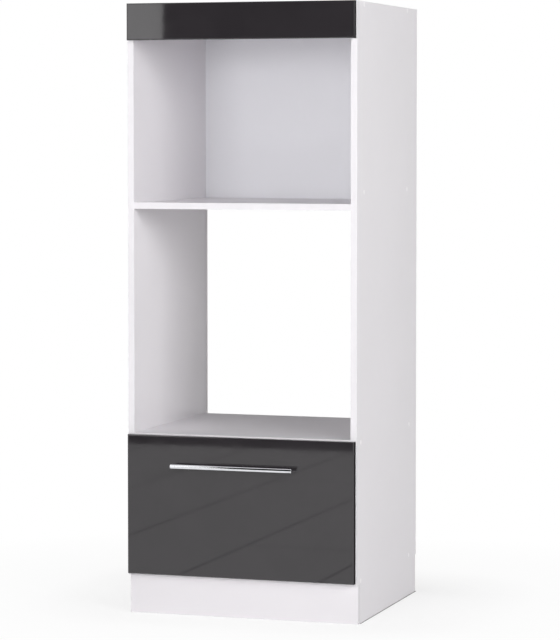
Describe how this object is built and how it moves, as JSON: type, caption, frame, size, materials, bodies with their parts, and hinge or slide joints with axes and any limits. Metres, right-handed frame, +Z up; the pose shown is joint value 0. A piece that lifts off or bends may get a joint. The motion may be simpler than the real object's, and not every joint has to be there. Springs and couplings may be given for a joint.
{
  "type": "microwave cabinet",
  "caption": "Tall white kitchen cabinet on a plinth with an open microwave niche, an open niche for a built-in oven and a deep drawer behind a gloss dark front with a chrome bar handle.",
  "frame": {"origin": "on the floor, under the middle of the whole outline seen from above, handle included", "axes": "+Z up, -Y out of the front (the way the drawer opens), +X to the right as seen from the front"},
  "size_m": [0.6018, 0.596, 1.535],
  "materials": {
    "white_board": "white melamine-faced chipboard, satin",
    "white_fibreboard": "thin fibreboard with white lacquer",
    "white_edge_band": "white plastic edge banding",
    "gloss_front": "fibreboard wrapped in anthracite foil, high gloss",
    "zinc_steel": "zinc-plated steel sheet",
    "screw_steel": "zinc-plated steel",
    "cap_plastic": "white plastic",
    "beech": "plain fluted beech",
    "rubber": "black rubber",
    "ball_steel": "polished steel balls",
    "chrome": "polished chrome plating"
  },
  "bodies": {
    "carcass": {"side_panel_left": "white_board", "side_panel_right": "white_board", "top_panel": "white_board", "microwave_shelf": "white_board", "oven_shelf": "white_board", "bottom_panel": "white_board", "niche_back_panel": "white_fibreboard", "drawer_bay_back_panel": "white_fibreboard", "side_edge_bands": "white_edge_band", "shelf_edge_bands": "white_edge_band", "top_fascia": "gloss_front", "fascia_brackets": "zinc_steel", "fascia_bracket_screws": "screw_steel", "confirmat_screws": "screw_steel", "screw_caps": "cap_plastic", "wood_dowels": "beech", "shelf_cams": "zinc_steel", "shelf_cam_bolts": "screw_steel", "back_panel_pins": "screw_steel", "plinth_front": "white_board", "plinth_back": "white_board", "plinth_side_left": "white_board", "plinth_side_right": "white_board", "plinth_brackets": "zinc_steel", "plinth_bracket_screws": "screw_steel", "cabinet_rail_left": "zinc_steel", "cabinet_rail_right": "zinc_steel", "cabinet_rail_screws": "screw_steel", "cabinet_rail_stops": "rubber"},
    "drawer": {"drawer_rail_left": "zinc_steel", "drawer_rail_right": "zinc_steel", "drawer_rail_screws": "screw_steel", "drawer_front": "gloss_front", "handle": "chrome", "handle_posts": "chrome", "handle_screws": "screw_steel", "drawer_front_screws": "screw_steel", "drawer_side_left": "white_board", "drawer_side_right": "white_board", "drawer_inner_front": "white_board", "drawer_back": "white_board", "drawer_bottom": "white_fibreboard", "drawer_side_bands": "white_edge_band", "drawer_cross_bands": "white_edge_band", "drawer_box_screws": "screw_steel", "drawer_bottom_pins": "screw_steel"},
    "middle_rails": {"middle_rail_left": "zinc_steel", "middle_rail_right": "zinc_steel", "middle_rail_stops": "rubber"},
    "outer_ball_cages": {"outer_ball_cage_left": "zinc_steel", "outer_ball_cage_right": "zinc_steel", "outer_balls": "ball_steel"},
    "inner_ball_cages": {"inner_ball_cage_left": "zinc_steel", "inner_ball_cage_right": "zinc_steel", "inner_balls": "ball_steel"}
  },
  "joints": [
    {"name": "drawer_slide", "type": "slide", "parent": "carcass", "child": "drawer", "axis": [0, -1, 0], "range_m": [0, 0.5]},
    {"name": "middle_rails_slide", "type": "slide", "parent": "carcass", "child": "middle_rails", "axis": [0, -1, 0], "range_m": [0, 0.25]},
    {"name": "outer_ball_cages_slide", "type": "slide", "parent": "carcass", "child": "outer_ball_cages", "axis": [0, -1, 0], "range_m": [0, 0.125]},
    {"name": "inner_ball_cages_slide", "type": "slide", "parent": "carcass", "child": "inner_ball_cages", "axis": [0, -1, 0], "range_m": [0, 0.375]}
  ],
  "couplings": [
    {"joint": "middle_rails_slide", "follows": "drawer_slide", "ratio": 0.5},
    {"joint": "outer_ball_cages_slide", "follows": "drawer_slide", "ratio": 0.25},
    {"joint": "inner_ball_cages_slide", "follows": "drawer_slide", "ratio": 0.75}
  ]
}
